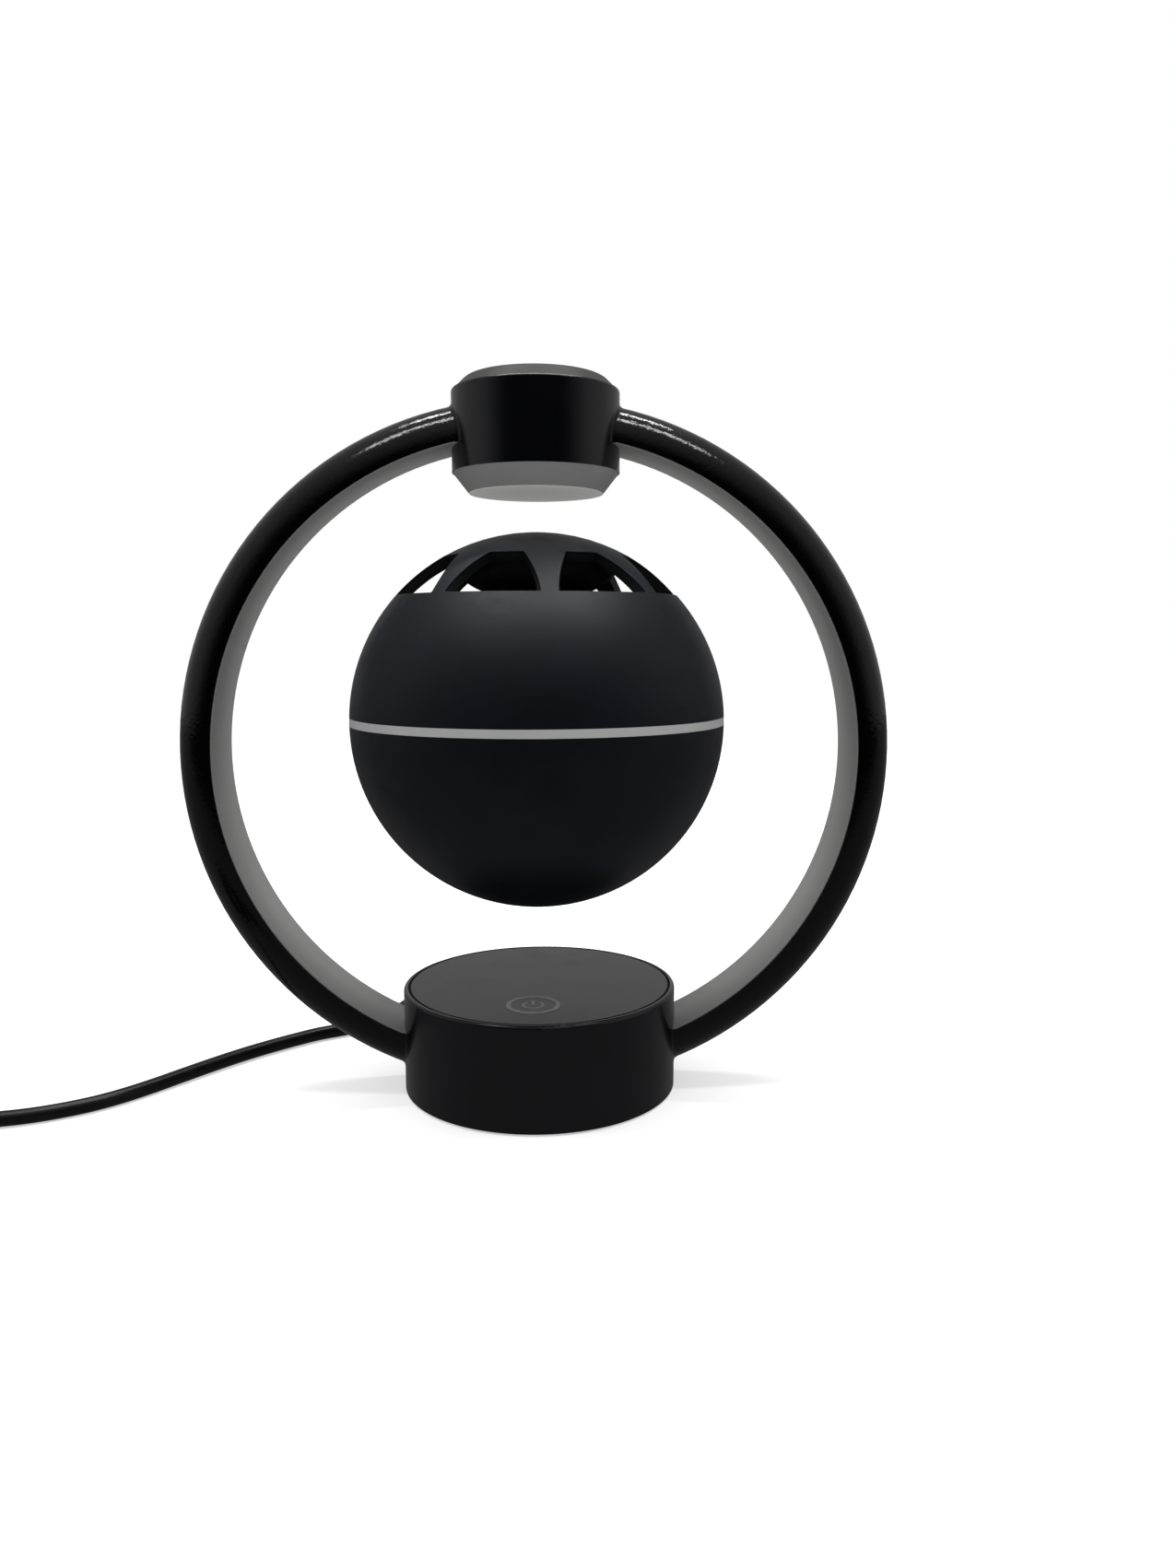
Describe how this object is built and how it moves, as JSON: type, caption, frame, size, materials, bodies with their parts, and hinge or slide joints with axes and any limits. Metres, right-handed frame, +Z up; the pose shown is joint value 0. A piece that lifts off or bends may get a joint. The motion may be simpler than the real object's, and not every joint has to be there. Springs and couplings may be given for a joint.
{
  "type": "levitating speaker lamp",
  "caption": "Black ring lamp on a drum base whose magnet head floats a round speaker with a ribbed crown and a light stripe.",
  "frame": {"origin": "middle of the base's footprint on the table, under the ball", "axes": "+Z up, +X to the right as seen from the front, +Y to the back, where the lead goes in; the front with the touch key faces -Y"},
  "size_m": [0.2955, 0.1848, 0.1906],
  "materials": {
    "satin_black": "satin",
    "gloss_black": "gloss",
    "soft_black": "matte",
    "smoked_plate": "gloss",
    "frosted_grey": "satin",
    "pale_lens": "satin",
    "dark_plastic": "matte",
    "silicone": "matte",
    "steel": "satin",
    "copper": "satin",
    "ferrite": "matte",
    "pressed_steel": "satin",
    "paper": "matte",
    "board_green": "satin",
    "strip_white": "satin",
    "cell_wrap": "satin",
    "lead_black": "satin",
    "webbing": "matte"
  },
  "bodies": {
    "stand": {"base_shell": "satin_black", "base_top_plate": "smoked_plate", "touch_sensor_board": "board_green", "base_bottom_cover": "dark_plastic", "base_foot_pads": "silicone", "base_screws": "steel", "base_weight": "steel", "base_circuit_board": "board_green", "dc_socket": "dark_plastic", "arm_channel_left": "gloss_black", "arm_channel_right": "gloss_black", "arm_diffuser_left": "frosted_grey", "arm_diffuser_right": "frosted_grey", "arm_led_strip_left": "strip_white", "arm_led_strip_right": "strip_white", "head_band": "satin_black", "head_top_cap": "frosted_grey", "head_lower_cover": "frosted_grey", "electromagnet_core": "steel", "electromagnet_bobbin": "dark_plastic", "electromagnet_coil": "copper", "hall_sensor_board": "board_green", "head_screws": "steel", "power_plug": "lead_black", "power_cord": "lead_black", "cord_coil": "lead_black", "cord_tie": "webbing", "usb_plug": "lead_black"},
    "ball": {"ball_upper_shell": "soft_black", "ball_light_ring": "pale_lens", "ball_lower_shell": "soft_black", "ball_led_board": "board_green", "levitation_magnet": "steel", "magnet_cap": "soft_black", "speaker_baffle": "soft_black", "driver_frame": "pressed_steel", "driver_cone": "paper", "driver_magnet": "ferrite", "ball_screws": "steel", "ball_circuit_board": "board_green", "ball_battery": "cell_wrap", "ball_charge_socket": "steel"},
    "power_button": {"ball_power_button": "soft_black"}
  },
  "joints": [
    {"name": "ball_spin", "type": "hinge", "parent": "stand", "child": "ball", "pos_m": [0, 0, 0.1011], "axis": [0, 0, 1], "continuous": true},
    {"name": "power_button_press", "type": "slide", "parent": "ball", "child": "power_button", "axis": [0, -1, 0], "range_m": [0, 0.0006], "stiffness_N_per_m": 2500}
  ]
}
